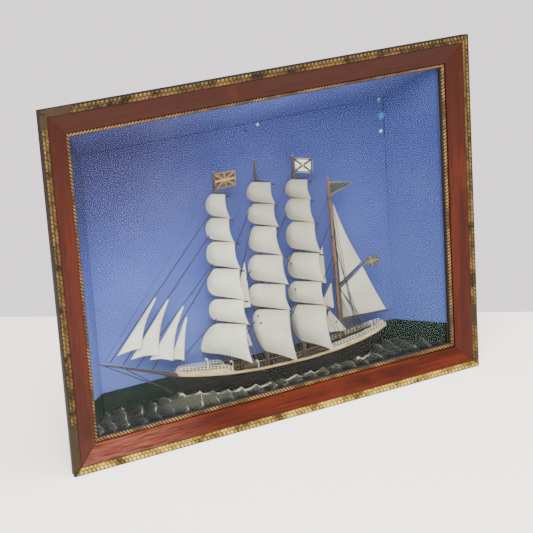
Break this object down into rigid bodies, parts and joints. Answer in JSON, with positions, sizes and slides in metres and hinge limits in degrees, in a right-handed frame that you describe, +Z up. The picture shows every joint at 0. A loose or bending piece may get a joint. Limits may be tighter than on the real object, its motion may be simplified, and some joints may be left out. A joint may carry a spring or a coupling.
{
  "type": "glazed ship diorama",
  "caption": "Glazed shadow-box diorama of a square-rigged sailing barque on a modelled sea, in a moulded wood and gilt frame with hanging rings.",
  "frame": {"origin": "centre of the case's footprint on the surface it stands on", "axes": "+X to the right seen from the front, +Y from the glass towards the back panel, +Z up"},
  "size_m": [0.7, 0.1078, 0.527],
  "materials": {
    "mahogany": "french polished",
    "gilding": "worn gilt composition on wood",
    "window_glass": "clear",
    "bare_pine": "bare",
    "painted_sky": "matt oil paint",
    "painted_sea": "painted putty on wood",
    "hull_black": "satin paint",
    "cream_paint": "satin paint",
    "deck_timber": "varnished",
    "varnished_spar": "varnished",
    "tarred_line": "tarred thread",
    "sail_white": "matt white paint on thin carved wood",
    "hanger_steel": "aged"
  },
  "bodies": {
    "case": {"bowsprit": "varnished_spar", "case_back_panel": "painted_sky", "case_bottom_board": "bare_pine", "case_left_board": "painted_sky", "case_right_board": "painted_sky", "case_top_board": "painted_sky", "deck_house": "deck_timber", "flying_jib": "sail_white", "fore_course": "sail_white", "fore_lower_topgallant": "sail_white", "fore_lower_topsail": "sail_white", "fore_mast": "varnished_spar", "fore_rigging": "tarred_line", "fore_royal": "sail_white", "fore_topmast_staysail": "sail_white", "fore_upper_topgallant": "sail_white", "fore_upper_topsail": "sail_white", "frame_rail_bottom": "mahogany", "frame_rail_left": "mahogany", "frame_rail_right": "mahogany", "frame_rail_top": "mahogany", "gaff_topsail": "sail_white", "gilt_edge_bottom": "gilding", "gilt_edge_left": "gilding", "gilt_edge_right": "gilding", "gilt_edge_top": "gilding", "gilt_slip": "gilding", "glass_pane": "window_glass", "hanger_plate_left": "hanger_steel", "hanger_plate_right": "hanger_steel", "hanger_screw_left": "hanger_steel", "hanger_screw_right": "hanger_steel", "inner_jib": "sail_white", "jigger_mast": "varnished_spar", "jigger_rigging": "tarred_line", "main_course": "sail_white", "main_lower_topgallant": "sail_white", "main_lower_topsail": "sail_white", "main_mast": "varnished_spar", "main_rigging": "tarred_line", "main_royal": "sail_white", "main_upper_topgallant": "sail_white", "main_upper_topsail": "sail_white", "mizzen_course": "sail_white", "mizzen_lower_topgallant": "sail_white", "mizzen_lower_topsail": "sail_white", "mizzen_mast": "varnished_spar", "mizzen_rigging": "tarred_line", "mizzen_royal": "sail_white", "mizzen_upper_topgallant": "sail_white", "mizzen_upper_topsail": "sail_white", "outer_jib": "sail_white", "sea_base": "painted_sea", "ship_bulwark": "cream_paint", "ship_hull": "hull_black", "spanker_boom": "varnished_spar", "spanker_gaff": "varnished_spar", "spanker_sail": "sail_white"},
    "left_hanger_ring": {"hanger_ring_left": "hanger_steel"},
    "right_hanger_ring": {"hanger_ring_right": "hanger_steel"}
  },
  "joints": [
    {"name": "left_ring_hinge", "type": "hinge", "parent": "case", "child": "left_hanger_ring", "pos_m": [-0.19, 0.0513, 0.4], "axis": [1, 0, 0], "range_deg": [0, 180]},
    {"name": "right_ring_hinge", "type": "hinge", "parent": "case", "child": "right_hanger_ring", "pos_m": [0.19, 0.0513, 0.4], "axis": [1, 0, 0], "range_deg": [0, 180]}
  ]
}
